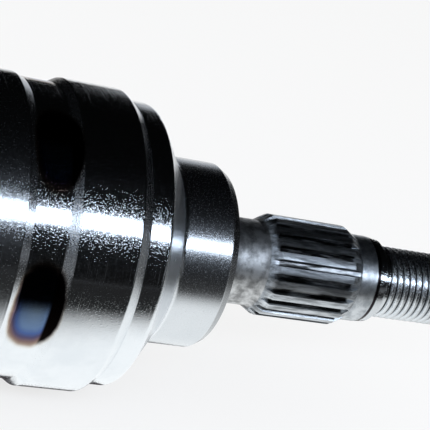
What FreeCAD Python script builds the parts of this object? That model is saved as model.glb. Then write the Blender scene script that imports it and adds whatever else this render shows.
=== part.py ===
"""Outer constant-velocity joint: bell with stub axle, inner race, cage, six balls and a circlip.

The frame has its origin at the joint centre, +X along the stub axle towards its thread, +Z up.
Every piece turns about the joint centre, so each is modelled where it sits with the joint straight.
"""
import FreeCAD
import Part
import Sketcher

import math
import os

BALLS = 6
TEETH = 22

SIZES = [
    # the ball set and how it runs
    ("ball_diameter", 15.08),
    ("pitch_radius", 26.8),         # joint centre to ball centre
    ("track_offset", 3.3),          # track centres lie this far either side of the joint centre
    ("outer_track_clearance", 0.08),
    ("inner_track_clearance", 0.14),
    ("track_sweep", 96.0),          # angle of the ball tracks in the bell
    ("hub_track_sweep", 130.0),     # and in the inner race
    # cage
    ("cage_crown", 3.0),            # outer sphere above the ball centres
    ("cage_depth", 1.9),            # inner sphere below the ball centres
    ("cage_rail", 5.0),             # rail beside each window
    ("window_clearance", 0.22),
    ("window_shift", 0.12),         # windows sit this much towards the closed end
    ("window_slack", 2.8),          # window longer than the ball, for its swing
    ("window_corner", 4.0),
    ("seat_clearance", 0.1),        # spherical running fits
    # inner race
    ("hub_half_width", 10.8),
    ("hub_bore_radius", 10.3),
    ("hub_bore_chamfer", 1.6),
    ("hub_tooth_depth", 1.3),
    # circlip
    ("clip_width", 1.7),
    ("clip_depth", 1.9),            # radial size of the ring's section
    ("clip_stand", 0.5),            # how far the ring stands out of its groove into the bore
    ("clip_clearance", 0.05),
    ("clip_gap", 9.0),
    ("clip_place", 6.6),            # groove's near side from the joint centre
    # bell
    ("groove_wall", 2.9),           # wall left between a ball track and the boot groove
    ("groove_depth", 1.5),          # boot groove below the bell
    ("rim_height", 0.9),            # rim above the boot groove
    ("mouth_depth", 17.0),          # joint centre to the mouth
    ("rim_edge", 6.5),              # joint centre to the end of the rim
    ("rim_taper", 2.2),
    ("groove_edge", 4.0),           # joint centre to the other end of the boot groove
    ("groove_taper", 2.4),
    ("bell_length", 14.8),
    ("bell_edge_round", 1.2),
    ("mouth_round", 0.8),
    ("mouth_flare", 5.4),           # depth of the cone that clears the shaft at full bend
    ("mouth_radius", 32.4),
    ("floor_inset", 4.4),           # cavity floor inside the seat sphere
    ("step_drop", 2.3),
    ("step_taper", 3.0),
    ("step_round", 1.8),
    ("shoulder_length", 8.4),
    ("shoulder_fillet", 2.0),
    # stub axle
    ("reach", 53.1),                # joint centre to the shoulder that the hub seats on
    ("stub_length", 76.3),          # shoulder to the end of the thread
    ("neck_radius", 24.5),
    ("neck_length", 13.0),
    ("neck_chamfer", 1.3),
    ("neck_taper", 2.2),
    ("stem_radius", 11.6),
    ("stem_length", 13.7),          # shoulder to the start of the spline
    ("stem_fillet", 1.2),
    ("spline_relief", 0.7),         # spline roots above the plain stem
    ("spline_depth", 1.45),
    ("space_share", 0.52),          # part of the pitch, at the crests, that is space
    ("flank_slope", 0.36),
    ("spline_lead", 3.7),           # cone up which the spaces run out
    ("spline_tail", 3.2),
    ("pilot_relief", 0.4),          # pilot below the spline roots
    ("pilot_length", 4.8),
    ("pilot_ease", 0.3),            # how far the pilot narrows before its end
    ("pilot_ease_length", 3.0),
    ("pilot_taper", 1.7),
    ("thread_radius", 10.0),
    ("thread_relief", 0.4),
    ("thread_relief_length", 2.5),
    ("thread_length", 22.0),
    ("thread_chamfer", 1.3),
    ("centre_radius", 3.2),
    ("centre_pilot_radius", 1.25),
    ("centre_pilot_length", 3.0),
    ("centre_slope", 1.732),        # depth of the 60 degree cone for each unit of radius
    ("run_out", 1.0),               # how far a cut runs past the face it opens
]

doc = FreeCAD.newDocument("CVJoint")
sheet = doc.addObject("Spreadsheet::Sheet", "Sizes")


class Size:
    """A length: its value now, and the expression that ties it to the sheet."""

    def __init__(self, value, text):
        self.value = float(value)
        self.text = text

    def __add__(self, other):
        other = size_of(other)
        return Size(self.value + other.value, "(%s + %s)" % (self.text, other.text))

    def __sub__(self, other):
        other = size_of(other)
        return Size(self.value - other.value, "(%s - %s)" % (self.text, other.text))

    def __mul__(self, other):
        other = size_of(other)
        return Size(self.value * other.value, "(%s * %s)" % (self.text, other.text))

    def __truediv__(self, other):
        other = size_of(other)
        return Size(self.value / other.value, "(%s / %s)" % (self.text, other.text))

    def __neg__(self):
        return Size(-self.value, "(-1 * %s)" % self.text)

    __radd__ = __add__
    __rmul__ = __mul__


def size_of(number):
    """Wrap a bare number, so that it mixes with named sizes."""
    if isinstance(number, Size):
        return number
    return Size(number, repr(float(number)))


def root(size):
    """Square root of a size."""
    return Size(math.sqrt(size.value), "sqrt(%s)" % size.text)


class Named:
    """The sheet's cells, read by name."""


s = Named()
for row, (alias, number) in enumerate(SIZES, start=1):
    sheet.set("A%d" % row, str(number))
    sheet.setAlias("A%d" % row, alias)
    setattr(s, alias, Size(number, "Sizes." + alias))
doc.recompute()

# ---------------------------------------------------------------------------
# Sizes that follow from the named ones
# ---------------------------------------------------------------------------
ball_radius = s.ball_diameter / 2
track_radius = root(s.pitch_radius * s.pitch_radius + s.track_offset * s.track_offset)
outer_track = ball_radius + s.outer_track_clearance
inner_track = ball_radius + s.inner_track_clearance

cage_outer = s.pitch_radius + s.cage_crown
cage_inner = s.pitch_radius - s.cage_depth
cage_half_width = ball_radius + s.window_clearance + s.cage_rail
seat = cage_outer + s.seat_clearance
hub_sphere = cage_inner - s.seat_clearance

groove_radius = track_radius + outer_track + s.groove_wall
bell_radius = groove_radius + s.groove_depth
rim_radius = groove_radius + s.rim_height
step_radius = bell_radius - s.step_drop
spline_root = s.stem_radius + s.spline_relief
spline_radius = spline_root + s.spline_depth
pilot_radius = spline_root - s.pilot_relief

floor = seat - s.floor_inset
bell_start = s.groove_edge + s.groove_taper
bell_end = bell_start + s.bell_length
step_start = bell_end + s.step_taper
neck_end = s.reach - s.neck_taper
neck_start = neck_end - s.neck_length
step_end = neck_start - s.shoulder_length
spline_start = s.reach + s.stem_length
spline_full = spline_start + s.spline_lead
thread_end = s.reach + s.stub_length
thread_start = thread_end - s.thread_length
relief_start = thread_start - s.thread_relief_length
ease_end = relief_start - s.pilot_taper
pilot_end = ease_end - s.pilot_ease_length
pilot_start = pilot_end - s.pilot_length
spline_end = pilot_start - s.spline_tail


# ---------------------------------------------------------------------------
# Helpers
# ---------------------------------------------------------------------------
def new_body(label):
    """An empty body at the joint centre."""
    body = doc.addObject("PartDesign::Body", label)
    body.Label = label
    body.Placement = FreeCAD.Placement()
    return body


def datum(body, role):
    """One of the body's own origin planes or axes."""
    for feature in body.Origin.OriginFeatures:
        if feature.Role == role:
            return feature
    raise RuntimeError("%s has no %s" % (body.Label, role))


def new_sketch(body, name, role, offset=None):
    """A sketch on one of the body's origin planes, shifted along its normal."""
    sketch = body.newObject("Sketcher::SketchObject", name)
    sketch.AttachmentSupport = (datum(body, role), [""])
    sketch.MapMode = "FlatFace"
    if offset is not None:
        sketch.setExpression("AttachmentOffset.Base.z", offset.text)
    return sketch


def tie(sketch, kind, *where_and_size):
    """Add a constraint whose value follows the sheet."""
    where = where_and_size[:-1]
    size = where_and_size[-1]
    index = sketch.addConstraint(Sketcher.Constraint(kind, *where, size.value))
    sketch.setExpression("Constraints[%d]" % index, size.text)


def corner(x, y, fixed="xy", rounding=None):
    """A corner of an outline: which coordinates are held, and the radius it is rounded to."""
    return size_of(x), size_of(y), fixed, rounding


def arc_between(sketch, centre, here, there):
    """The shorter arc from here to there; returns it with the ends in that order."""
    first = math.atan2(here.y - centre.y, here.x - centre.x)
    last = math.atan2(there.y - centre.y, there.x - centre.x)
    forward = (last - first) % (2 * math.pi) < math.pi
    if not forward:
        first, last = last, first
    circle = Part.Circle(centre, FreeCAD.Vector(0, 0, 1), (here - centre).Length)
    side = sketch.addGeometry(Part.ArcOfCircle(circle, first, last), False)
    if forward:
        return side, (side, 1), (side, 2)
    return side, (side, 2), (side, 1)


def round_points(before, here, after, radius):
    """Where a rounding leaves the two straight sides, and its centre."""
    back = (before - here).normalize()
    ahead = (after - here).normalize()
    sine = back.cross(ahead).Length
    setback = radius * (1 + back.dot(ahead)) / sine
    centre = here + (back + ahead) * (radius / sine)
    return here + back * setback, here + ahead * setback, centre


def outline(sketch, corners, arcs=None):
    """A closed loop through the corners; arcs gives the centre of each curved side."""
    arcs = arcs or {}
    count = len(corners)
    points = [FreeCAD.Vector(x.value, y.value, 0) for x, y, _, _ in corners]
    rounds = {}
    for i, (_, _, _, rounding) in enumerate(corners):
        if rounding is not None:
            rounds[i] = round_points(points[i - 1], points[i], points[(i + 1) % count],
                                     rounding.value)
    ends = []
    for i in range(count):
        follower = (i + 1) % count
        here = rounds[i][1] if i in rounds else points[i]
        there = rounds[follower][0] if follower in rounds else points[follower]
        if i not in arcs:
            side = sketch.addGeometry(Part.LineSegment(here, there), False)
            ends.append(((side, 1), (side, 2)))
            continue
        cx, cy = size_of(arcs[i][0]), size_of(arcs[i][1])
        centre = FreeCAD.Vector(cx.value, cy.value, 0)
        side, start, end = arc_between(sketch, centre, here, there)
        ends.append((start, end))
        tie(sketch, "DistanceX", -1, 1, side, 3, cx)
        tie(sketch, "DistanceY", -1, 1, side, 3, cy)
    for i, (x, y, fixed, rounding) in enumerate(corners):
        held = ends[i][0]
        if i in rounds:
            held = (sketch.addGeometry(Part.Point(points[i]), True), 1)
            arc, start, end = arc_between(sketch, rounds[i][2], rounds[i][0], rounds[i][1])
            sketch.addConstraint(Sketcher.Constraint("Tangent", *ends[i - 1][1], *start))
            sketch.addConstraint(Sketcher.Constraint("Tangent", *end, *ends[i][0]))
            for side, _ in (ends[i - 1][1], ends[i][0]):
                sketch.addConstraint(Sketcher.Constraint("PointOnObject", *held, side))
            tie(sketch, "Radius", arc, rounding)
        else:
            sketch.addConstraint(Sketcher.Constraint("Coincident", *ends[i - 1][1], *held))
        if "x" in fixed:
            tie(sketch, "DistanceX", -1, 1, *held, x)
        if "y" in fixed:
            tie(sketch, "DistanceY", -1, 1, *held, y)
    return sketch


def disc(sketch, x, y, radius):
    """A full circle."""
    x, y = size_of(x), size_of(y)
    side = sketch.addGeometry(Part.Circle(FreeCAD.Vector(x.value, y.value, 0),
                                          FreeCAD.Vector(0, 0, 1), radius.value), False)
    tie(sketch, "DistanceX", -1, 1, side, 3, x)
    tie(sketch, "DistanceY", -1, 1, side, 3, y)
    tie(sketch, "Radius", side, radius)
    return sketch


def turned(body, name, sketch):
    """Turn the outline about the X axis."""
    feature = body.newObject("PartDesign::Revolution", name)
    feature.Profile = sketch
    feature.ReferenceAxis = (datum(body, "X_Axis"), [""])
    feature.Angle = 360
    return settle(body, feature)


def settle(body, feature):
    """Make the feature the body's tip, and see that it computes."""
    body.Tip = feature
    doc.recompute()
    if feature.Shape.isNull() or not feature.Shape.isValid():
        raise RuntimeError("%s of %s is not a valid solid" % (feature.Label, body.Label))
    return feature


def cutting(body, feature):
    """Settle a cut, turning it round if it points away from the solid."""
    before = feature.BaseFeature.Shape.Volume if feature.BaseFeature else body.Shape.Volume
    settle(body, feature)
    if before - feature.Shape.Volume < 1e-3 and hasattr(feature, "Reversed"):
        feature.Reversed = not feature.Reversed
        settle(body, feature)
    if before - feature.Shape.Volume < 1e-3:
        raise RuntimeError("%s of %s cuts nothing" % (feature.Label, body.Label))
    return feature


def grooved(body, name, sketch, axis, angle=None):
    """Cut by turning the outline about an axis, a full turn unless an angle is given."""
    feature = body.newObject("PartDesign::Groove", name)
    feature.Profile = sketch
    feature.ReferenceAxis = axis
    feature.Angle = 360 if angle is None else angle.value
    if angle is not None:
        feature.Midplane = True
        feature.setExpression("Angle", angle.text)
    return cutting(body, feature)


def pocketed(body, name, sketch, length, along):
    """Cut the outline straight in; along is the direction in which the cut has to go."""
    feature = body.newObject("PartDesign::Pocket", name)
    feature.Profile = sketch
    feature.setExpression("Length", length.text)
    feature.UseCustomVector = False
    doc.recompute()
    normal = sketch.Placement.Rotation.multVec(FreeCAD.Vector(0, 0, 1))
    feature.Reversed = normal.dot(along) > 0
    return cutting(body, feature)


def ring_of(body, name, feature, count):
    """Repeat a feature evenly about the X axis."""
    pattern = body.newObject("PartDesign::PolarPattern", name)
    pattern.Originals = [feature]
    pattern.Axis = (datum(body, "X_Axis"), [""])
    pattern.Angle = 360
    pattern.Occurrences = count
    return cutting_pattern(body, feature, pattern)


def cutting_pattern(body, feature, pattern):
    """Settle a pattern, and see that its copies cut as well."""
    settle(body, pattern)
    if feature.Shape.Volume - pattern.Shape.Volume < 1e-3:
        raise RuntimeError("%s of %s adds no copies" % (pattern.Label, body.Label))
    return pattern


# ---------------------------------------------------------------------------
# Outer race: the bell, its neck and the splined and threaded stub are one forging
# ---------------------------------------------------------------------------
outer_race = new_body("outer_race")
forging = outline(new_sketch(outer_race, "ForgingOutline", "XY_Plane"), [
    corner(-s.mouth_depth, 0),
    corner(-s.mouth_depth, rim_radius, rounding=s.mouth_round),
    corner(-s.rim_edge, rim_radius),
    corner(s.rim_taper - s.rim_edge, groove_radius),
    corner(s.groove_edge, groove_radius),
    corner(bell_start, bell_radius),
    corner(bell_end, bell_radius, rounding=s.bell_edge_round),
    corner(step_start, step_radius),
    corner(step_end, step_radius, rounding=s.step_round),
    corner(neck_start, s.neck_radius, rounding=s.shoulder_fillet),
    corner(neck_end, s.neck_radius),
    corner(s.reach, s.neck_radius - s.neck_chamfer),
    corner(s.reach, s.stem_radius, rounding=s.stem_fillet),
    corner(spline_start, s.stem_radius),
    corner(spline_full, spline_radius),
    corner(spline_end, spline_radius),
    corner(pilot_start, pilot_radius),
    corner(pilot_end, pilot_radius),
    corner(ease_end, pilot_radius - s.pilot_ease),
    corner(relief_start, s.thread_radius - s.thread_relief),
    corner(thread_start - s.thread_relief, s.thread_radius - s.thread_relief),
    corner(thread_start, s.thread_radius),
    corner(thread_end - s.thread_chamfer, s.thread_radius),
    corner(thread_end, s.thread_radius - s.thread_chamfer),
    corner(thread_end, 0),
])
turned(outer_race, "Forging", forging)

# The spherical seat for the cage, opened by a flare at the mouth
flare_end = s.mouth_flare - s.mouth_depth
cavity = outline(new_sketch(outer_race, "CavityOutline", "XY_Plane"), [
    corner(-s.mouth_depth - s.run_out, 0),
    corner(-s.mouth_depth - s.run_out, s.mouth_radius),
    corner(-s.mouth_depth, s.mouth_radius),
    corner(flare_end, root(seat * seat - flare_end * flare_end)),
    corner(floor, root(seat * seat - floor * floor), "x"),
    corner(floor, 0),
], arcs={3: (0, 0)})
grooved(outer_race, "Cavity", cavity, (datum(outer_race, "X_Axis"), [""]))

# Six ball tracks, each an arc about a centre set towards the mouth
track = disc(new_sketch(outer_race, "TrackSection", "YZ_Plane", -s.track_offset),
             track_radius, 0, outer_track)
track_cut = grooved(outer_race, "Track", track, (track, ["V_Axis"]), s.track_sweep)
ring_of(outer_race, "Tracks", track_cut, BALLS)

# External spline: one space cut along the stub, then repeated
crest_half = spline_radius * (math.pi / TEETH) * s.space_share
root_half = crest_half - s.spline_depth * s.flank_slope
space = outline(new_sketch(outer_race, "SpaceSection", "YZ_Plane", spline_start - s.run_out), [
    corner(spline_root, -root_half),
    corner(spline_radius + s.run_out, -crest_half - s.flank_slope * s.run_out),
    corner(spline_radius + s.run_out, crest_half + s.flank_slope * s.run_out),
    corner(spline_root, root_half),
])
space_cut = pocketed(outer_race, "Space", space, pilot_start - spline_start + s.run_out * 2,
                     FreeCAD.Vector(1, 0, 0))
ring_of(outer_race, "Spline", space_cut, TEETH)

# Centre drilled in the threaded end, on which the stub was turned
cone_depth = (s.centre_radius - s.centre_pilot_radius) * s.centre_slope
centre = outline(new_sketch(outer_race, "CentreOutline", "XY_Plane"), [
    corner(thread_end - cone_depth - s.centre_pilot_length, 0),
    corner(thread_end - cone_depth - s.centre_pilot_length, s.centre_pilot_radius),
    corner(thread_end - cone_depth, s.centre_pilot_radius),
    corner(thread_end, s.centre_radius),
    corner(thread_end + s.run_out, s.centre_radius),
    corner(thread_end + s.run_out, 0),
])
grooved(outer_race, "CentreDrill", centre, (datum(outer_race, "X_Axis"), [""]))

# ---------------------------------------------------------------------------
# Cage: a ring between two spheres about the joint centre, with a window for each ball
# ---------------------------------------------------------------------------
cage = new_body("cage")
outer_edge = root(cage_outer * cage_outer - cage_half_width * cage_half_width)
inner_edge = root(cage_inner * cage_inner - cage_half_width * cage_half_width)
ring = outline(new_sketch(cage, "RingOutline", "XY_Plane"), [
    corner(-cage_half_width, inner_edge),
    corner(-cage_half_width, outer_edge),
    corner(cage_half_width, outer_edge, "x"),
    corner(cage_half_width, inner_edge, "x"),
], arcs={1: (0, 0), 3: (0, 0)})
turned(cage, "Ring", ring)

left = s.window_shift - ball_radius - s.window_clearance
right = s.window_shift + ball_radius + s.window_clearance
top = (s.ball_diameter + s.window_slack) / 2
bend = s.window_corner
window = outline(new_sketch(cage, "WindowSection", "XZ_Plane"), [
    corner(left + bend, -top, "x"),
    corner(right - bend, -top),
    corner(right, bend - top, "y"),
    corner(right, top - bend),
    corner(right - bend, top, "x"),
    corner(left + bend, top),
    corner(left, top - bend, "y"),
    corner(left, bend - top),
], arcs={
    1: (right - bend, bend - top),
    3: (right - bend, top - bend),
    5: (left + bend, top - bend),
    7: (left + bend, bend - top),
})
window_cut = pocketed(cage, "Window", window, cage_outer + s.run_out, FreeCAD.Vector(0, 1, 0))
ring_of(cage, "Windows", window_cut, BALLS)

# ---------------------------------------------------------------------------
# Inner race: a sphere's belt with ball tracks outside and a splined bore for the shaft
# ---------------------------------------------------------------------------
inner_race = new_body("inner_race")
belt_edge = root(hub_sphere * hub_sphere - s.hub_half_width * s.hub_half_width)
bore_end = s.hub_half_width - s.hub_bore_chamfer
clip_end = s.clip_place + s.clip_width + s.clip_clearance
clip_bore = s.hub_bore_radius - s.clip_stand + s.clip_depth + s.clip_clearance
belt = outline(new_sketch(inner_race, "BeltOutline", "XY_Plane"), [
    corner(-s.hub_half_width, s.hub_bore_radius + s.hub_bore_chamfer),
    corner(-s.hub_half_width, belt_edge),
    corner(s.hub_half_width, belt_edge, "x"),
    corner(s.hub_half_width, s.hub_bore_radius + s.hub_bore_chamfer),
    corner(bore_end, s.hub_bore_radius),
    corner(-bore_end, s.hub_bore_radius),
], arcs={1: (0, 0)})
turned(inner_race, "Belt", belt)

hub_track = disc(new_sketch(inner_race, "TrackSection", "YZ_Plane", s.track_offset),
                 track_radius, 0, inner_track)
hub_track_cut = grooved(inner_race, "Track", hub_track, (hub_track, ["V_Axis"]),
                        s.hub_track_sweep)
ring_of(inner_race, "Tracks", hub_track_cut, BALLS)

slot_crest = s.hub_bore_radius * (math.pi / TEETH) * s.space_share
slot_root = slot_crest - s.hub_tooth_depth * s.flank_slope
slot = outline(new_sketch(inner_race, "SpaceSection", "YZ_Plane", -s.hub_half_width - s.run_out), [
    corner(s.hub_bore_radius - s.run_out, -slot_crest - s.flank_slope * s.run_out),
    corner(s.hub_bore_radius + s.hub_tooth_depth, -slot_root),
    corner(s.hub_bore_radius + s.hub_tooth_depth, slot_root),
    corner(s.hub_bore_radius - s.run_out, slot_crest + s.flank_slope * s.run_out),
])
slot_cut = pocketed(inner_race, "Space", slot, (s.hub_half_width + s.run_out) * 2,
                    FreeCAD.Vector(1, 0, 0))
ring_of(inner_race, "Spline", slot_cut, TEETH)

clip_groove = outline(new_sketch(inner_race, "ClipGrooveOutline", "XY_Plane"), [
    corner(s.clip_place, s.hub_bore_radius - s.run_out),
    corner(s.clip_place, clip_bore),
    corner(clip_end, clip_bore),
    corner(clip_end, s.hub_bore_radius - s.run_out),
])
grooved(inner_race, "ClipGroove", clip_groove, (datum(inner_race, "X_Axis"), [""]))

# ---------------------------------------------------------------------------
# Circlip: a flat split ring sprung into its groove in the inner race's bore
# ---------------------------------------------------------------------------
circlip = new_body("circlip")
clip_outer = clip_bore - s.clip_clearance
clip_inner = clip_outer - s.clip_depth
strip = outline(new_sketch(circlip, "StripOutline", "XY_Plane"), [
    corner(s.clip_place, clip_inner),
    corner(s.clip_place, clip_outer),
    corner(s.clip_place + s.clip_width, clip_outer),
    corner(s.clip_place + s.clip_width, clip_inner),
])
turned(circlip, "Strip", strip)
gap = outline(new_sketch(circlip, "GapSection", "YZ_Plane", s.clip_place - s.run_out), [
    corner(-s.clip_gap / 2, 0),
    corner(s.clip_gap / 2, 0),
    corner(s.clip_gap / 2, clip_outer + s.run_out),
    corner(-s.clip_gap / 2, clip_outer + s.run_out),
])
pocketed(circlip, "Gap", gap, s.clip_width + s.run_out * 2, FreeCAD.Vector(1, 0, 0))

# ---------------------------------------------------------------------------
# Balls: one in each pair of tracks, on the pitch circle
# ---------------------------------------------------------------------------
balls = []
for number in range(BALLS):
    ball = doc.addObject("Part::Sphere", "ball_%d" % (number + 1))
    ball.Label = "ball_%d" % (number + 1)
    angle = 360.0 / BALLS * number
    ball.setExpression("Radius", ball_radius.text)
    ball.setExpression("Placement.Base.y", "Sizes.pitch_radius * cos(%.0f deg)" % angle)
    ball.setExpression("Placement.Base.z", "Sizes.pitch_radius * sin(%.0f deg)" % angle)
    balls.append(ball)
doc.recompute()

# ---------------------------------------------------------------------------
# Check every object, then write one file for each piece
# ---------------------------------------------------------------------------
for item in doc.Objects:
    if "Invalid" in item.State or "Error" in item.State:
        raise RuntimeError("%s failed to compute" % item.Label)

pieces = [outer_race, cage, inner_race, circlip] + balls
for piece in pieces:
    if piece.Shape.isNull() or not piece.Shape.isValid() or len(piece.Shape.Solids) != 1:
        raise RuntimeError("%s is not one valid solid" % piece.Label)

os.makedirs("parts", exist_ok=True)
for piece in pieces:
    piece.Shape.exportStep(os.path.join("parts", piece.Label + ".step"))
    box = piece.Shape.optimalBoundingBox()
    print("%-12s %9.1f mm3  x %7.2f..%7.2f  y, z to %6.2f" % (
        piece.Label, piece.Shape.Volume, box.XMin, box.XMax, max(box.YMax, box.ZMax)))
print("neck from %.1f to %.1f, spline from %.1f to %.1f, thread from %.1f to %.1f" % (
    neck_start.value, neck_end.value, spline_start.value, pilot_start.value,
    thread_start.value, thread_end.value))
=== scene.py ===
# %% [markdown]
# # Dressing a constant-velocity joint
# The solids of this joint come ready made, at their real size and in their places.
# They are plain, so this lesson gives them what the eye expects of new drivetrain
# steel: turned faces, blue and brown heat tints, a spline with painted shade and a cut thread.
# Nothing here moves or resizes a solid, because other tools rely on them.

import math

import bmesh
import bpy
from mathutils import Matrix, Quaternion, Vector


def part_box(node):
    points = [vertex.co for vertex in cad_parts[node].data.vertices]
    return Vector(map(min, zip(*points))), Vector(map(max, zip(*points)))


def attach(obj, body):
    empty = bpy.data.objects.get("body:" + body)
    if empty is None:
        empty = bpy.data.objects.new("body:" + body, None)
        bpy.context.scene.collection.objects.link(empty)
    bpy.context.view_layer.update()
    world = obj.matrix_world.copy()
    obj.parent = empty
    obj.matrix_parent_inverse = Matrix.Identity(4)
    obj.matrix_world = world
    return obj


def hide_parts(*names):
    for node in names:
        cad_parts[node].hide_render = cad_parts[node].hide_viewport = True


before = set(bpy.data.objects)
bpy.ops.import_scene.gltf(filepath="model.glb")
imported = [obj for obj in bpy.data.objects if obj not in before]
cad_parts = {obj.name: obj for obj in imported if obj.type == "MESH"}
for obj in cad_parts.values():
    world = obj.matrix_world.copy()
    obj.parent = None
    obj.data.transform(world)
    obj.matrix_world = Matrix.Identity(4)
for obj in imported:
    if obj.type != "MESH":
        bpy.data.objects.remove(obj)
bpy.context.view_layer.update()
print("solids:", sorted(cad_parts))

# %% [markdown]
# ## The camera
# A long lens from the open side of the bell keeps the stub in view behind it. A camera
# could be placed by a constraint that follows a target. Here it is aimed once, with a
# direction and a roll, because nothing moves while the picture is taken.

# %% Aim the camera
def aim(thing, eye, target, roll=0.0):
    """Put a thing at eye, facing target, turned by roll degrees about its line of sight."""
    sight = (Vector(target) - Vector(eye)).normalized()
    turn = sight.to_track_quat("-Z", "Y") @ Quaternion((0, 0, 1), math.radians(roll))
    thing.location = eye
    thing.rotation_mode = "QUATERNION"
    thing.rotation_quaternion = turn


EYE = Vector((-0.0955, -0.3094, 0.1643))
TARGET = Vector((0.0704, 0.0369, -0.0058))

lens = bpy.data.cameras.new("long_lens")
lens.lens = 120.4
lens.sensor_width = 36.0
lens.clip_start = 0.01
lens.clip_end = 20.0
camera = bpy.data.objects.new("camera", lens)
bpy.context.scene.collection.objects.link(camera)
aim(camera, EYE, TARGET, roll=20.12)
bpy.context.scene.camera = camera
bpy.context.scene.view_settings.view_transform = "Standard"
print("camera looks from", tuple(round(c, 3) for c in EYE))

# %% [markdown]
# ## Sizes read from the solids
# The finish changes along the stub, so its steps have to be known. They could be typed
# in again, but a measured solid can't disagree with itself. Here a plane is laid across
# the outer race, and the radius is read where it cuts the mesh's edges.

# %% Measure the outer race
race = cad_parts["outer_race"]
END, _, BELL_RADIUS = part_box("outer_race")[1]
FLOOR = -BELL_RADIUS


def radius_at(place):
    """Radius of the outer race where a plane across its axis cuts it."""
    cuts = []
    for edge in race.data.edges:
        first, last = (race.data.vertices[i].co for i in edge.vertices)
        if (first.x - place) * (last.x - place) < 0:
            cut = first.lerp(last, (place - first.x) / (last.x - first.x))
            cuts.append(math.hypot(cut.y, cut.z))
    return max(cuts)


SHOULDER = 0.0531
THREAD_START = 0.1056
SPLINE_RADIUS = radius_at(0.080)
THREAD_RADIUS = radius_at(0.118)
RELIEF_RADIUS = radius_at(THREAD_START + 0.0002)
print("bell %.2f, spline %.2f, relief %.2f, thread %.2f mm radius" % tuple(
    r * 1000 for r in (BELL_RADIUS, SPLINE_RADIUS, RELIEF_RADIUS, THREAD_RADIUS)))

# %% [markdown]
# ## Shader arithmetic in plain Python
# A finish is a sum of masks, such as "in the groove and near a track". Wiring each Math
# node by hand hides that sum. The class below wraps a socket, so that `1 - mask` or
# `near * inside` adds the nodes and reads like the formula. Any other node comes from
# one method, which takes its type, its settings and what its sockets get.

# %% Signals
class Signal:
    """One output socket that can be added, multiplied and compared."""

    def __init__(self, recipe, socket):
        self.recipe = recipe
        self.socket = socket

    def _math(self, operation, *values):
        return self.recipe.node("ShaderNodeMath", {"operation": operation},
                                dict(enumerate(values)))

    def __add__(self, other):
        return self._math("ADD", self, other)

    def __radd__(self, other):
        return self._math("ADD", other, self)

    def __sub__(self, other):
        return self._math("SUBTRACT", self, other)

    def __rsub__(self, other):
        return self._math("SUBTRACT", other, self)

    def __mul__(self, other):
        return self._math("MULTIPLY", self, other)

    def __rmul__(self, other):
        return self._math("MULTIPLY", other, self)

    def __truediv__(self, other):
        return self._math("DIVIDE", self, other)

    def __pow__(self, other):
        return self._math("POWER", self, other)

    def __abs__(self):
        return self._math("ABSOLUTE", self)

    def angle_with(self, other):
        """The angle whose tangent is this signal over the other."""
        return self._math("ARCTAN2", self, other)

    def repeat(self, low, high):
        """Wrap the signal into a range, over and over."""
        return self._math("WRAP", self, high, low)

    def rise(self, start, end):
        """A smooth step from 0 at start to 1 at end; start may be the larger."""
        return self.recipe.node("ShaderNodeMapRange", {"interpolation_type": "SMOOTHSTEP"},
                                {"Value": self, "From Min": start, "From Max": end,
                                 "To Min": 0.0, "To Max": 1.0})

    def band(self, start, end, soft):
        """1 between start and end, 0 outside, with soft shoulders."""
        return self.rise(start - soft, start + soft) * self.rise(end + soft, end - soft)


# %% [markdown]
# ## Recipes
# A material starts as an empty recipe that knows the place on the object. Every finish
# and every card of the stage comes from it. Node groups could share parts as well, but
# a plain method is shorter, and its numbers stay readable.

# %% Recipes: a material's node tree
class Recipe:
    """A material under construction, with the place on the object as its first signals."""

    def __init__(self, name):
        self.material = bpy.data.materials.new(name)
        self.material.use_nodes = True
        self.tree = self.material.node_tree
        self.place = self.node("ShaderNodeTexCoord", out="Object")
        axes = self.node("ShaderNodeSeparateXYZ", {}, {0: self.place}, out=None)
        self.x, self.y, self.z = (Signal(self, s) for s in axes.outputs)

    def node(self, kind, settings=None, values=None, out=0):
        """Add a node: settings first, then numbers or signals for its sockets."""
        made = self.tree.nodes.new(kind)
        for key, value in (settings or {}).items():
            setattr(made, key, value)
        for key, value in (values or {}).items():
            if isinstance(value, Signal):
                self.tree.links.new(value.socket, made.inputs[key])
            else:
                made.inputs[key].default_value = value
        return made if out is None else Signal(self, made.outputs[out])

    def ramp(self, signal, stops):
        """A colour for each value of a signal, from (place, colour) stops."""
        made = self.node("ShaderNodeValToRGB", {}, {0: signal}, out=None)
        elements = made.color_ramp.elements
        while len(elements) < len(stops):
            elements.new(1.0)
        for element, (place, color) in zip(elements, stops):
            element.position = place
            element.color = (*color, 1)
        return Signal(self, made.outputs[0])

    def blend(self, factor, first, second):
        """Mix two colours by a signal."""
        return self.node("ShaderNodeMix", {"data_type": "RGBA"},
                         {0: factor, 6: first, 7: second}, out=2)

    def grain(self, scale, stretch=(1, 1, 1), detail=3.0):
        """Noise on the object's own coordinates, stretched along its axes."""
        stretched = self.node("ShaderNodeVectorMath", {"operation": "MULTIPLY"},
                              {0: self.place, 1: stretch})
        return self.node("ShaderNodeTexNoise", {}, {"Vector": stretched, "Scale": scale,
                                                    "Detail": detail, "Roughness": 0.6})


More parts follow.
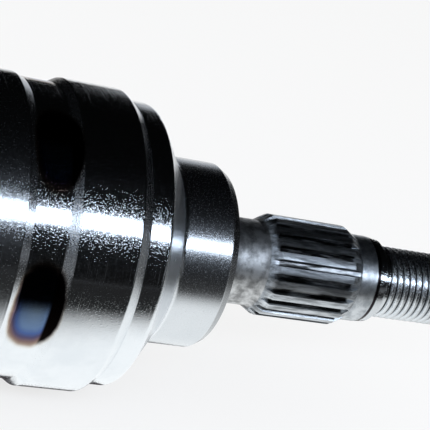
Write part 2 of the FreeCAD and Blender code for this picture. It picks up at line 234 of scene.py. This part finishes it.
# %% Metal finishes
class Steel(Recipe):
    """A metal finish."""

    def __init__(self, name, color, roughness):
        super().__init__(name)
        self.shader = self.tree.nodes["Principled BSDF"]
        self.shader.inputs["Base Color"].default_value = (*color, 1)
        self.shader.inputs["Metallic"].default_value = 1.0
        self.shader.inputs["Roughness"].default_value = roughness

    def around(self):
        """Angle about the joint's axis, from +Y towards +Z."""
        return self.z.angle_with(self.y)

    def radius(self):
        """Distance from the joint's axis."""
        return (self.y * self.y + self.z * self.z) ** 0.5

    def rings(self, per_metre, detail=2.0):
        """Noise that changes only along the axis, as a turning tool leaves it."""
        return self.node("ShaderNodeTexNoise", {"noise_dimensions": "1D"},
                         {"W": self.x, "Scale": per_metre, "Detail": detail, "Roughness": 0.7})

    def bump(self, height, distance, under=None):
        """Turn a height signal into a normal, on top of another one."""
        values = {"Height": height, "Distance": distance, "Strength": 1.0}
        if under is not None:
            values["Normal"] = under
        return self.node("ShaderNodeBump", {}, values)

    def feed(self, **inputs):
        """Link signals to the shader's sockets; an underscore stands for a space."""
        for name, signal in inputs.items():
            self.tree.links.new(signal.socket, self.shader.inputs[name.replace("_", " ")])
        return self.material


def gray(level, cool=0.0):
    """A steel's colour: a grey that leans to blue or, below zero, to straw."""
    return (level * (1 - cool), level, level * (1 + cool), 1.0)


print("shader helpers ready, such as gray(0.5, 0.1):", gray(0.5, 0.1))

# %% [markdown]
# ## The forged and turned steel
# The outer race is turned all over, ground where seals run and induction hardened over
# the ball tracks. The heat leaves an oval of oxide above each track: straw at its rim,
# then brown, purple and blue. It could be painted as an image, but six ovals at equal
# angles are a short formula of the angle and the place along the axis.

# %% Ovals of oxide over the tracks
TRACK_STEP = math.pi / 3
TINT_START = -0.0059
TINT_END = 0.0068
TINT_HALF_ANGLE = math.radians(19.5)
GROOVE_BOTTOM_END = 0.0036
SKIN_RADIUS = 0.0360
FAINT_TRACK = math.radians(-120)

steel = Steel("turned_steel", (0.80, 0.82, 0.85), 0.10)
radius = steel.radius()

past_track = (steel.around() + TRACK_STEP / 2).repeat(0.0, TRACK_STEP) - TRACK_STEP / 2
off_track = abs(past_track)
middle = (TINT_START + TINT_END) / 2
reach = (TINT_END - TINT_START) / 2
oval = (abs((steel.x - middle) / reach) ** 2.6 + (off_track / TINT_HALF_ANGLE) ** 2.2) ** 0.42
oval = oval + (steel.grain(160, detail=2.0) - 0.5) * 0.16

outside = radius.rise(SKIN_RADIUS - 0.0005, SKIN_RADIUS + 0.0005)
faint = abs(steel.around() - FAINT_TRACK).rise(math.radians(34), math.radians(26))
tinted = oval.rise(1.04, 0.86) * outside * (1 - 0.85 * faint)
scaled = steel.x.rise(GROOVE_BOTTOM_END - 0.0004, GROOVE_BOTTOM_END + 0.0004) * oval.rise(1.0, 0.86)
burnt = past_track.rise(0.05, -0.07) * oval.rise(0.95, 0.75)
print("six ovals, %.1f mm long" % (2000 * reach))

# %% [markdown]
# ## Zones along the axis
# The maker finished each length of the race in its own way, and a few narrow bands carry
# painted shade and painted reflection, so the steel needs to know where it is. Vertex groups
# could carry that, but the solid's corners are too far apart along a plain cylinder. A smooth
# step of the place along the axis is sharp anywhere.

# %% Zones along the axis
SPLINE_START = 0.0672
SPLINE_END = 0.0950
PILOT_END = 0.1003
SLOPES = [  # start, end, softness and strength
    (-0.0064, -0.0044, 0.0003, 1.0), (0.0042, 0.0062, 0.0003, 1.8),
    (0.0214, 0.0240, 0.0003, 1.0), (0.0300, 0.0376, 0.0006, 2.4)]

neck = steel.x.band(0.0385, SHOULDER + 0.0001, 0.0004)
# Painted reflection: a dark band over the rounded end of the neck.
neck_edge_painted_reflection = steel.x.band(0.0512, SHOULDER + 0.0001, 0.0003)
stem = steel.x.band(SHOULDER + 0.0003, 0.0690, 0.0008) * radius.rise(0.0230, 0.0215)
splined = steel.x.band(SPLINE_START, SPLINE_END, 0.0003) * radius.rise(0.0120, 0.0122)
pilot = steel.x.band(SPLINE_END, PILOT_END, 0.0004)
# Painted reflection: a thin dark line just past the pilot stands in for the dark that this step
# reflects.
pilot_painted_reflection = steel.x.band(PILOT_END, PILOT_END + 0.0010, 0.0002)
threaded = steel.x.rise(THREAD_START, THREAD_START + 0.0010)
# Painted shade: the roots of the thread are coloured nearly black.
thread_root_painted_shade = steel.x.rise(THREAD_START, THREAD_START + 0.0004) * radius.rise(0.00945, 0.0091)
# Where the spline's spaces lie, below its teeth; they get painted shade.
space = radius.rise(SPLINE_RADIUS - 0.00012, SPLINE_RADIUS - 0.0006) * steel.x.band(
    0.0700, 0.0922, 0.0004)
slopes = steel.x.rise(-0.0062, -0.0070) * 0.8
for start, end, soft, strength in SLOPES:
    slopes = slopes + steel.x.band(start, end, soft) * strength
print("zones ready, and", len(SLOPES), "turned slopes")

# %% [markdown]
# ## Colours of the outer race
# Bare steel is a light grey that leans to blue. The stem behind the spline is stained,
# the spline's spaces and the thread's roots get painted shade, the ends of the neck and the
# pilot get a painted dark reflection, and the ovals run through the tempering colours.
# One picture per zone would also do, but blends keep the zones' borders soft.

# %% Colours of the outer race
BURNT_BLUE = (0.006, 0.008, 0.014, 1)
SCALE_BLACK = (0.002, 0.001, 0.001, 1)
# The black of the painted reflection just past the pilot.
PAINTED_REFLECTION_BLACK = (0.030, 0.024, 0.028, 1)
TEMPER = [
    (0.00, (0.20, 0.28, 0.38)), (0.48, (0.14, 0.22, 0.38)), (0.62, (0.07, 0.12, 0.30)),
    (0.72, (0.08, 0.07, 0.14)), (0.82, (0.20, 0.13, 0.12)), (0.91, (0.38, 0.30, 0.24)),
    (1.00, (0.72, 0.68, 0.60))]

oxide = steel.ramp(oval, TEMPER)
oxide = steel.blend(burnt, oxide, BURNT_BLUE)
oxide = steel.blend(scaled, oxide, SCALE_BLACK)

mottle = steel.grain(90, detail=3.0)
blotches = steel.grain(300, detail=5.0)
streaks = steel.grain(800, stretch=(0.15, 1, 1), detail=3.0)
freckles = steel.grain(420, detail=4.0)
body = steel.blend(mottle.rise(0.35, 0.7), gray(0.83, 0.03), gray(0.77, 0.04))
stain = steel.blend(blotches.rise(0.36, 0.64), gray(0.64, 0.01), gray(0.24, 0.01))
worn = steel.blend(streaks.rise(0.36, 0.66), gray(0.66, 0.05), gray(0.24, 0.05))
# Painted shade in the spline's spaces, streaked from black to mid grey.
spline_painted_shade = steel.blend(streaks.rise(0.42, 0.72), gray(0.02), gray(0.42, 0.03))
dull = steel.blend(freckles.rise(0.35, 0.65), gray(0.70, 0.04), gray(0.42, 0.07))

color = body
for zone, tone in ((neck * 0.55, gray(0.56, 0.04)), (neck_edge_painted_reflection * 0.7, gray(0.30, 0.02)),
                   (stem, stain), (pilot, dull), (splined, worn), (space, spline_painted_shade),
                   (pilot_painted_reflection, PAINTED_REFLECTION_BLACK), (thread_root_painted_shade, gray(0.09, 0.06)),
                   (tinted, oxide)):
    color = steel.blend(zone, color, tone)
print("colours ready:", len(steel.tree.nodes), "nodes so far")

# %% [markdown]
# ## Gloss and relief of the outer race
# Turning leaves rings, and rolling and handling leave specks too small to see, apart
# from where they catch the lamp beside its bright line. Modelling them would take
# millions of faces, so a bump of a few hundredths of a millimetre stands for them.

# %% Gloss and relief of the outer race
RING_DEPTH = 0.000009
SPARKLE_DEPTH = 0.000014
BLOTCH_DEPTH = 0.00012

speck = steel.grain(3600, detail=1.0).rise(0.50, 0.78)
rough = (0.10 + mottle * 0.02 + speck * 0.12 + slopes * 0.07 + neck * 0.10 + stem * 0.32
         + splined * 0.20 + pilot * 0.21 + threaded * 0.12)

rings = steel.rings(2600, detail=3.0).rise(0.58, 0.74)
sparkle = steel.grain(2800, stretch=(1.2, 0.8, 0.8), detail=1.5).rise(0.56, 0.72)
where = 1 - splined * 0.8 - neck * 0.5 - slopes * 0.4 + threaded
relief = steel.bump(rings, RING_DEPTH)
relief = steel.bump(sparkle * where, SPARKLE_DEPTH, under=relief)
relief = steel.bump(blotches * (stem + splined * 0.6 + pilot * 0.5), BLOTCH_DEPTH, under=relief)
steel.feed(Base_Color=color, Roughness=rough, Normal=relief)
print("turned steel:", len(steel.tree.nodes), "nodes")

# %% [markdown]
# ## The other finishes
# The pieces inside are hardened and ground, and the cage is darker, because it is
# phosphated. Each gets grain at its own scale, since a single flat grey would read as
# plastic in the mouth of the bell.

# %% Finishes of the inner pieces
def ground_finish(name, level, roughness, grain_scale, depth, cool=0.0):
    """A hardened steel face with grain in its colour, its gloss and its relief."""
    made = Steel(name, gray(level, cool)[:3], roughness)
    grain = made.grain(grain_scale, detail=4.0)
    patches = made.grain(grain_scale * 0.08, detail=2.0)
    tone = made.blend(patches.rise(0.3, 0.7), gray(level * 0.82, cool), gray(level, cool))
    return made.feed(Base_Color=tone, Roughness=roughness * 0.75 + grain * (roughness * 0.5),
                     Normal=made.bump(grain, depth))


cage_finish = ground_finish("phosphated_cage", 0.20, 0.38, 1800, 0.00003, -0.03)
hub_finish = ground_finish("ground_hub", 0.56, 0.24, 1500, 0.00002)
clip_finish = ground_finish("spring_steel", 0.16, 0.34, 1600, 0.00002, 0.02)
ball_finish = ground_finish("lapped_ball", 0.78, 0.06, 900, 0.000002)

for name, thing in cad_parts.items():
    finish = {"cage": cage_finish, "inner_race": hub_finish, "circlip": clip_finish,
              "outer_race": steel.material}.get(name, ball_finish)
    for slot in thing.material_slots:
        slot.material = finish
print("solids finished:", len(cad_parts))

# %% [markdown]
# ## The outer race without its plain thread
# The solid's threaded end is a smooth cylinder. A copy of the race is cut off just before
# it, so that a modelled thread can stand there. The copy's loose triangles are merged
# first: only then do neighbouring faces share their corners and shade as one surface.

# %% Helpers for new pieces
SHARP_FROM = 17.0


def mark_sharp(bm, limit=SHARP_FROM):
    """Shade smooth, and keep edges sharp where faces meet at more than the limit."""
    for face in bm.faces:
        face.smooth = True
    for edge in bm.edges:
        wide = len(edge.link_faces) == 2 and edge.calc_face_angle(0) > math.radians(limit)
        edge.smooth = not wide


def new_piece(name, bm, material, body):
    """Make an object of a bmesh, finish it and let it ride with a body."""
    mark_sharp(bm)
    mesh_data = bpy.data.meshes.new(name)
    bm.to_mesh(mesh_data)
    bm.free()
    piece = bpy.data.objects.new(name, mesh_data)
    bpy.context.scene.collection.objects.link(piece)
    mesh_data.materials.append(material)
    even = piece.modifiers.new("even_shading", "WEIGHTED_NORMAL")
    even.mode = "FACE_AREA_WITH_ANGLE"
    even.keep_sharp = True
    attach(piece, body)
    print(name, len(mesh_data.polygons), "faces")
    return piece


def merged_copy(node):
    """A bmesh of a solid whose loose triangles are joined into one skin."""
    bm = bmesh.new()
    bm.from_mesh(node.data)
    bmesh.ops.remove_doubles(bm, verts=bm.verts, dist=1e-6)
    return bm


def cut_away(bm, place, side):
    """Remove all that lies beyond a plane across the axis."""
    bmesh.ops.bisect_plane(bm, geom=bm.verts[:] + bm.edges[:] + bm.faces[:],
                           plane_co=(place, 0, 0), plane_no=(side, 0, 0), clear_outer=True)


print("edges stay sharp where faces meet at more than", SHARP_FROM, "degrees")

# %% Copy and cut the race
bm = merged_copy(race)
cut_away(bm, THREAD_START, 1)
turned_race = new_piece("turned_race", bm, steel.material, "outer")
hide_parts("outer_race")

# %% [markdown]
# ## The cut thread
# A thread is one profile swept along a helix. A Screw modifier would do it, and so would
# a spin that also shifts along its axis at each step, which bmesh does in one call. The
# profile is one pitch long and is turned often enough to fill the stub's end.

# %% Sizes of the thread
PITCH = 0.002
DEPTH = 0.00105
CREST_GAP = 0.00002
STEPS = 48
CHAMFER = 0.0013
RUN_IN_START = THREAD_START + 0.0004
RUN_IN_SLOPE = 0.6

PROFILE = [  # share of the pitch and share of the depth
    (0.00, 0.00), (0.06, 0.06), (0.13, 0.34), (0.20, 0.64), (0.27, 0.84), (0.35, 0.95),
    (0.43, 0.99), (0.50, 1.00), (0.57, 0.99), (0.65, 0.95), (0.73, 0.84), (0.80, 0.64),
    (0.87, 0.34), (0.94, 0.06), (1.00, 0.00)]
print("thread of %.0f mm with %.0f mm pitch" % (2000 * THREAD_RADIUS, 1000 * PITCH))


# %% Spin the thread
def thread_skin():
    """A helical thread, cut square at both ends."""
    made = bmesh.new()
    start = THREAD_START - PITCH
    root = THREAD_RADIUS - DEPTH
    ring = [made.verts.new((start + share * PITCH, 0, root + height * (DEPTH - CREST_GAP)))
            for share, height in PROFILE]
    edges = [made.edges.new(pair) for pair in zip(ring, ring[1:])]
    turns = math.ceil((END - start) / PITCH) + 1
    bmesh.ops.spin(made, geom=ring + edges, cent=(0, 0, 0), axis=(1, 0, 0),
                   dvec=(PITCH / STEPS, 0, 0), angle=2 * math.pi * turns, steps=STEPS * turns,
                   use_duplicate=False, use_merge=False)
    bmesh.ops.remove_doubles(made, verts=made.verts, dist=2e-6)
    cut_away(made, THREAD_START, -1)
    cut_away(made, END, 1)
    return made


def keep_under(made, limit_at):
    """Pull every corner in to the radius that is allowed at its place."""
    for v in made.verts:
        here = math.hypot(v.co.y, v.co.z)
        limit = limit_at(v.co.x)
        if here > limit:
            v.co.y *= limit / here
            v.co.z *= limit / here


def stub_limit(x):
    """The stub's outline over the thread: the relief, a short run-in and the end chamfer."""
    run_in = RELIEF_RADIUS + max(0.0, x - RUN_IN_START) * RUN_IN_SLOPE
    chamfer = THREAD_RADIUS - CHAMFER + (END - x)
    return min(run_in, THREAD_RADIUS, chamfer)


bm = thread_skin()
keep_under(bm, stub_limit)
bmesh.ops.recalc_face_normals(bm, faces=bm.faces)
new_piece("stub_thread", bm, steel.material, "outer")

# %% [markdown]
# ## The end of the stub
# The thread is an open skin, so the stub's end needs its face, with the small centre in
# which the lathe held it. The solid has that face already, so it is cut from a copy.

# %% Cut the end face from a copy
END_PART_FROM = 0.112
END_RADIUS = THREAD_RADIUS - CHAMFER + 1e-5


def on_end(face):
    """Whether a face belongs to the stub's flat end or its centre."""
    widest = max(math.hypot(v.co.y, v.co.z) for v in face.verts)
    return face.calc_center_median().x >= END_PART_FROM and widest <= END_RADIUS


bm = merged_copy(race)
bmesh.ops.delete(bm, geom=[face for face in bm.faces if not on_end(face)], context="FACES")
new_piece("stub_end", bm, steel.material, "outer")

# %% [markdown]
# ## Floor and cards
# Polished steel shows what stands round it. A pale floor lights its underside, a long
# soft lamp draws the bright line along it, and dark cloth all round keeps the rest deep.
# The cloth is seen by reflections alone, so it neither shades nor shows.

# %% Materials of the stage
def glow(name, color, fade=None):
    """A surface that shows one colour, or a colour times a faded signal."""
    made = Recipe(name)
    out = made.tree.nodes["Material Output"]
    made.tree.nodes.remove(made.tree.nodes["Principled BSDF"])
    strength = 1.0 if fade is None else fade(made)
    shine = made.node("ShaderNodeEmission", {}, {"Color": (*color, 1), "Strength": strength})
    made.tree.links.new(shine.socket, out.inputs["Surface"])
    return made.material


def pale_paper(level, glowing):
    """Paper that glows a little, so that it stays pale and keeps a faint shadow."""
    made = Recipe("pale_paper")
    out = made.tree.nodes["Material Output"]
    made.tree.nodes.remove(made.tree.nodes["Principled BSDF"])
    paper = made.node("ShaderNodeBsdfDiffuse", {}, {"Color": (level, level, level, 1)})
    shine = made.node("ShaderNodeEmission", {}, {"Color": (level, level, level, 1)})
    mixed = made.node("ShaderNodeMixShader", {}, {0: glowing, 1: paper, 2: shine})
    made.tree.links.new(mixed.socket, out.inputs["Surface"])
    return made.material


def stage_piece(name, bm, material, glossy_only=True):
    """Put a piece on the stage; a card shows in reflections and nowhere else."""
    mesh_data = bpy.data.meshes.new(name)
    bm.to_mesh(mesh_data)
    bm.free()
    piece = bpy.data.objects.new(name, mesh_data)
    bpy.context.scene.collection.objects.link(piece)
    mesh_data.materials.append(material)
    if glossy_only:
        piece.visible_camera = False
        piece.visible_diffuse = False
        piece.visible_shadow = False
        piece.visible_transmission = False
        piece.visible_volume_scatter = False
    return piece


def card(corners):
    """A flat card through its corners."""
    bm = bmesh.new()
    bm.faces.new([bm.verts.new(corner) for corner in corners])
    return bm


print("cards show in reflections alone")

# %% Floor
bm = bmesh.new()
bmesh.ops.create_grid(bm, x_segments=1, y_segments=1, size=3.0)
bmesh.ops.translate(bm, verts=bm.verts, vec=(0, 0, FLOOR))
stage_piece("floor", bm, pale_paper(0.93, 0.80), glossy_only=False)
print("floor at %.1f mm" % (1000 * FLOOR))

# %% [markdown]
# ## The table as the steel shows it
# A studio table is lit beside the object and falls off into the dark. On the steel this
# gives the white underside and the soft border above it. A spotlight could draw that
# pool, but it would also spoil the even floor, so a card just over it carries the fade.


# %% Lit table
def table_fade(made):
    """Bright beside the joint, fading towards the front and towards the stub's far end."""
    bay = made.x.rise(0.05, 0.0) * 0.022
    front = (made.y - bay).rise(-0.146, -0.062) ** 1.3
    far = 0.10 + 0.90 * made.x.rise(0.260, 0.060)
    return 0.012 + front * far


TABLE = [(-0.45, -0.56), (1.30, -0.56), (1.30, 0.50), (0.42, 0.50), (0.30, 0.05), (-0.45, 0.05)]
TABLE_HEIGHT = FLOOR + 0.0004
bm = card([(x, y, TABLE_HEIGHT) for x, y in TABLE])
stage_piece("lit_table", bm, glow("lit_table", (1.06, 1.09, 1.10), table_fade))

# %% [markdown]
# ## The joint's shade on the table
# Where the joint rests, it hides the table from the light. The steel just above the
# contact shows that shade as a thin dark line. A real shadow can't be seen in a glowing
# card, so a narrow dark card lies where the shade would be.

# %% Shade under the joint
SHADE = [
    (-0.040, -0.019), (0.030, -0.018), (0.045, -0.002), (0.068, 0.006), (0.085, 0.017),
    (0.180, 0.021), (0.180, 0.046), (0.075, 0.036), (0.045, 0.016), (-0.040, 0.002)]
SHADE_HEIGHT = FLOOR + 0.0008
bm = card([(x, y, SHADE_HEIGHT) for x, y in SHADE])
stage_piece("table_shade", bm, glow("table_shade", (0.05, 0.045, 0.05)))
print("lit table with the joint's shade")

# %% [markdown]
# ## Dark cloth round the stage
# Bright steel looks deep only if most of what it mirrors is dark. The cloth is a part of
# a tunnel along the joint, closed at both ends. A dark world would do the same, but it
# would darken the floor too. Low down the cloth is lighter, as it is near a real table.

# %% Dark cloth
CLOTH_RADIUS = 0.55
CLOTH_FROM = -35.0
CLOTH_TO = 181.0
CLOTH_ENDS = (-0.75, 1.30)
CLOTH_STEPS = 64


def cloth_tunnel():
    """Part of a tunnel along the axis, from the front, over the joint and down behind."""
    bm = bmesh.new()
    first = math.radians(CLOTH_FROM)
    ends = [bm.verts.new((x, -CLOTH_RADIUS * math.cos(first), CLOTH_RADIUS * math.sin(first)))
            for x in CLOTH_ENDS]
    line = bm.edges.new(ends)
    bmesh.ops.spin(bm, geom=ends + [line], cent=(0, 0, 0), axis=(-1, 0, 0), dvec=(0, 0, 0),
                   angle=math.radians(CLOTH_TO - CLOTH_FROM), steps=CLOTH_STEPS,
                   use_duplicate=False, use_merge=False)
    return bm


def cloth_fade(made):
    """Almost black, and lighter low down at the ends, behind and along the table's edge."""
    near = 0.12 * made.x.rise(-0.10, -0.30) * made.z.rise(0.22, 0.05)
    far = 0.16 * made.x.rise(0.38, 0.70) * made.z.rise(0.16, 0.02)
    behind = 0.62 * made.x.band(0.21, 0.40, 0.03) * made.z.rise(0.20, 0.06) * made.y.rise(0.3, 0.5)
    table_edge = 0.05 * made.z.band(-0.028, -0.014, 0.003) * made.y.rise(-0.4, -0.5)
    return 0.0012 + near + far + behind + table_edge


black_cloth = glow("black_cloth", (0.90, 0.94, 1.0), cloth_fade)
stage_piece("cloth_tunnel", cloth_tunnel(), black_cloth)
for name, end in zip(("cloth_near_end", "cloth_far_end"), CLOTH_ENDS):
    bm = card([(end, -CLOTH_RADIUS, FLOOR), (end, CLOTH_RADIUS, FLOOR),
               (end, CLOTH_RADIUS, CLOTH_RADIUS), (end, -CLOTH_RADIUS, CLOTH_RADIUS)])
    stage_piece(name, bm, black_cloth)
print("cloth from %.0f to %.0f degrees" % (CLOTH_FROM, CLOTH_TO))

# %% [markdown]
# ## Lamp and world
# One long strip lamp runs beside the joint's axis, so that every cylinder shows the same
# straight bright line. Several small lamps would break it into spots. The world is an
# even pale grey, which fills the background and nothing else.

# %% Lamp and world
LAMP_LIFT = math.radians(39.7)
LAMP_AWAY = 0.50
LAMP_MIDDLE = 0.21
LAMP_LENGTH = 1.36
LAMP_HEIGHT = 0.080
LAMP_WATTS = 2.3
LAMP_COLOR = (0.76, 0.86, 1.0)
ROOM_GRAY = 0.93

light = bpy.data.lights.new("long_strip", "AREA")
light.shape = "RECTANGLE"
light.size = LAMP_LENGTH
light.size_y = LAMP_HEIGHT
light.energy = LAMP_WATTS
light.color = LAMP_COLOR
lamp = bpy.data.objects.new("long_strip", light)
bpy.context.scene.collection.objects.link(lamp)
aim(lamp, (LAMP_MIDDLE, -LAMP_AWAY * math.cos(LAMP_LIFT), LAMP_AWAY * math.sin(LAMP_LIFT)),
    (LAMP_MIDDLE, 0, 0))

world = bpy.data.worlds.new("pale_room")
bpy.context.scene.world = world
world.use_nodes = True
sky = world.node_tree.nodes["Background"].inputs
sky["Color"].default_value = (ROOM_GRAY, ROOM_GRAY, ROOM_GRAY, 1)
sky["Strength"].default_value = 1.0
print("lamp of %.2f m at %.1f degrees" % (LAMP_LENGTH, math.degrees(LAMP_LIFT)))
